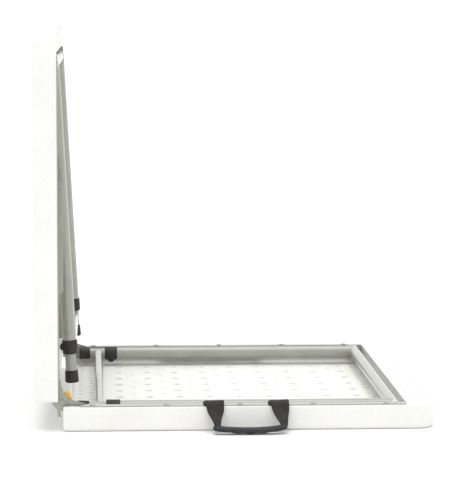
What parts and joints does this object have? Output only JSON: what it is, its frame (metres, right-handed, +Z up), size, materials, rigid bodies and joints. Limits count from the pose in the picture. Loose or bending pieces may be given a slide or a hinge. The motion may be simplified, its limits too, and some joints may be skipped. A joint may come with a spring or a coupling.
{
  "type": "folding table",
  "caption": "Fold-in-half table with a moulded white top, steel side rails, folding braces, telescoping folding legs and a carry handle, shown half open on its tabletop.",
  "frame": {"origin": "middle of the lying half's tabletop face, on the floor", "axes": "+X towards the lying half's outer end, away from the fold; +Y to the back, away from the carry handle; +Z up"},
  "size_m": [0.658, 0.6495, 0.658],
  "materials": {
    "white_hdpe": "fine pebbled white polyethylene",
    "silver_coat": "satin silver-grey powder coat",
    "zinc_steel": "bright zinc plate",
    "black_plastic": "satin charcoal moulding",
    "white_plastic": "smooth white nylon",
    "yellow_plastic": "smooth amber yellow",
    "grip_plastic": "satin dark slate",
    "webbing": "woven charcoal webbing"
  },
  "bodies": {
    "half_a": {"top_panel_a": "white_hdpe", "side_rail_a_front": "silver_coat", "side_rail_a_rear": "silver_coat", "rail_screws_a": "zinc_steel", "brace_rivets_a": "zinc_steel", "hinge_plate_a_front": "silver_coat", "hinge_plate_a_rear": "silver_coat", "pivot_bushes_a": "white_plastic", "hinge_pins": "zinc_steel", "lock_pins": "zinc_steel", "strap_loops": "webbing"},
    "half_b": {"top_panel_b": "white_hdpe", "side_rail_b_front": "silver_coat", "side_rail_b_rear": "silver_coat", "rail_screws_b": "zinc_steel", "brace_rivets_b": "zinc_steel", "hinge_plate_b_front": "silver_coat", "hinge_plate_b_rear": "silver_coat", "pivot_bushes_b": "white_plastic"},
    "top_bar_b": {"pivot_bar_b": "silver_coat", "axle_stubs_b": "zinc_steel"},
    "leg_a": {"pivot_bar_a": "silver_coat", "axle_stubs_a": "zinc_steel", "upper_tube_a_front": "silver_coat", "upper_tube_a_rear": "silver_coat", "leg_collars_a": "black_plastic", "leg_spacers_a": "zinc_steel"},
    "lower_leg_a": {"lower_tube_a_front": "silver_coat", "lower_tube_a_rear": "silver_coat", "lower_crossbar_a": "silver_coat", "foot_caps_a": "black_plastic"},
    "rail_links_a": {"rail_link_a_front": "silver_coat", "rail_link_a_rear": "silver_coat", "elbow_rivets_a": "zinc_steel"},
    "leg_links_a": {"leg_link_a_front": "silver_coat", "leg_link_a_rear": "silver_coat", "link_end_rivets_a": "zinc_steel"},
    "button_a_front": {"push_button_a_front": "black_plastic"},
    "button_a_rear": {"push_button_a_rear": "black_plastic"},
    "leg_b": {"upper_tube_b_front": "silver_coat", "upper_tube_b_rear": "silver_coat", "leg_collars_b": "black_plastic", "leg_spacers_b": "zinc_steel"},
    "lower_leg_b": {"lower_tube_b_front": "silver_coat", "lower_tube_b_rear": "silver_coat", "lower_crossbar_b": "silver_coat", "foot_caps_b": "black_plastic"},
    "rail_links_b": {"rail_link_b_front": "silver_coat", "rail_link_b_rear": "silver_coat", "elbow_rivets_b": "zinc_steel"},
    "leg_links_b": {"leg_link_b_front": "silver_coat", "leg_link_b_rear": "silver_coat", "link_end_rivets_b": "zinc_steel"},
    "button_b_front": {"push_button_b_front": "black_plastic"},
    "button_b_rear": {"push_button_b_rear": "black_plastic"},
    "handle": {"handle_strap_left": "webbing", "handle_strap_right": "webbing", "handle_grip": "grip_plastic"},
    "lock_front": {"hinge_lock_front": "yellow_plastic"},
    "lock_rear": {"hinge_lock_rear": "yellow_plastic"}
  },
  "joints": [
    {"name": "table_fold", "type": "hinge", "parent": "half_a", "child": "half_b", "pos_m": [-0.307, 0, 0.046], "axis": [0, -1, 0], "range_deg": [-90, 90]},
    {"name": "leg_b_settle", "type": "hinge", "parent": "half_b", "child": "top_bar_b", "pos_m": [-0.32, 0, 0.593], "axis": [0, -1, 0], "range_deg": [-3.2, 3.2]},
    {"name": "leg_a_deploy", "type": "hinge", "parent": "half_a", "child": "leg_a", "pos_m": [0.24, 0, 0.033], "axis": [0, 1, 0], "range_deg": [0, 90]},
    {"name": "leg_a_extend", "type": "slide", "parent": "leg_a", "child": "lower_leg_a", "axis": [-1, 0, 0], "range_m": [0, 0.1802]},
    {"name": "brace_a_swing", "type": "hinge", "parent": "half_a", "child": "rail_links_a", "pos_m": [0, 0, 0.033], "axis": [0, 1, 0], "range_deg": [0, 142.47]},
    {"name": "brace_a_elbow", "type": "hinge", "parent": "rail_links_a", "child": "leg_links_a", "pos_m": [-0.12401, 0, 0.033], "axis": [0, 1, 0], "range_deg": [-180.1, 0]},
    {"name": "button_a_front_press", "type": "slide", "parent": "leg_a", "child": "button_a_front", "axis": [0, 0, 1], "range_m": [0, 0.0015], "stiffness_N_per_m": 400},
    {"name": "button_a_rear_press", "type": "slide", "parent": "leg_a", "child": "button_a_rear", "axis": [0, 0, 1], "range_m": [0, 0.0015], "stiffness_N_per_m": 400},
    {"name": "leg_b_deploy", "type": "hinge", "parent": "top_bar_b", "child": "leg_b", "pos_m": [-0.32, 0, 0.593], "axis": [0, -1, 0], "range_deg": [0, 83.6]},
    {"name": "leg_b_extend", "type": "slide", "parent": "leg_b", "child": "lower_leg_b", "axis": [0.0558, 0, -0.9984], "range_m": [0, 0.1802]},
    {"name": "brace_b_swing", "type": "hinge", "parent": "half_b", "child": "rail_links_b", "pos_m": [-0.32, 0, 0.353], "axis": [0, -1, 0], "range_deg": [0, 138.51]},
    {"name": "brace_b_elbow", "type": "hinge", "parent": "rail_links_b", "child": "leg_links_b", "pos_m": [-0.31142, 0, 0.22928], "axis": [0, -1, 0], "range_deg": [-175.57, 0]},
    {"name": "button_b_front_press", "type": "slide", "parent": "leg_b", "child": "button_b_front", "axis": [0.9984, 0, 0.0558], "range_m": [0, 0.0015], "stiffness_N_per_m": 400},
    {"name": "button_b_rear_press", "type": "slide", "parent": "leg_b", "child": "button_b_rear", "axis": [0.9984, 0, 0.0558], "range_m": [0, 0.0015], "stiffness_N_per_m": 400},
    {"name": "handle_swing", "type": "hinge", "parent": "half_a", "child": "handle", "pos_m": [0, -0.306, 0.0415], "axis": [-1, 0, 0], "range_deg": [0, 110]},
    {"name": "lock_front_release", "type": "hinge", "parent": "half_a", "child": "lock_front", "pos_m": [-0.293, 0, 0.0455], "axis": [0, 1, 0], "range_deg": [0, 30], "stiffness_Nm_per_rad": 0.02},
    {"name": "lock_rear_release", "type": "hinge", "parent": "half_a", "child": "lock_rear", "pos_m": [-0.293, 0, 0.0455], "axis": [0, 1, 0], "range_deg": [0, 30], "stiffness_Nm_per_rad": 0.02}
  ],
  "couplings": [
    {"joint": "leg_b_settle", "follows": "table_fold", "ratio": 0.035556},
    {"joint": "leg_a_extend", "follows": "leg_a_deploy", "m_per_rad": 0.11459},
    {"joint": "brace_a_swing", "follows": "leg_a_deploy", "ratio": 1.5819},
    {"joint": "brace_a_elbow", "follows": "leg_a_deploy", "ratio": -2},
    {"joint": "leg_b_extend", "follows": "leg_b_deploy", "m_per_rad": 0.12336},
    {"joint": "brace_b_swing", "follows": "leg_b_deploy", "ratio": 1.6556},
    {"joint": "brace_b_elbow", "follows": "leg_b_deploy", "ratio": -2.099}
  ]
}
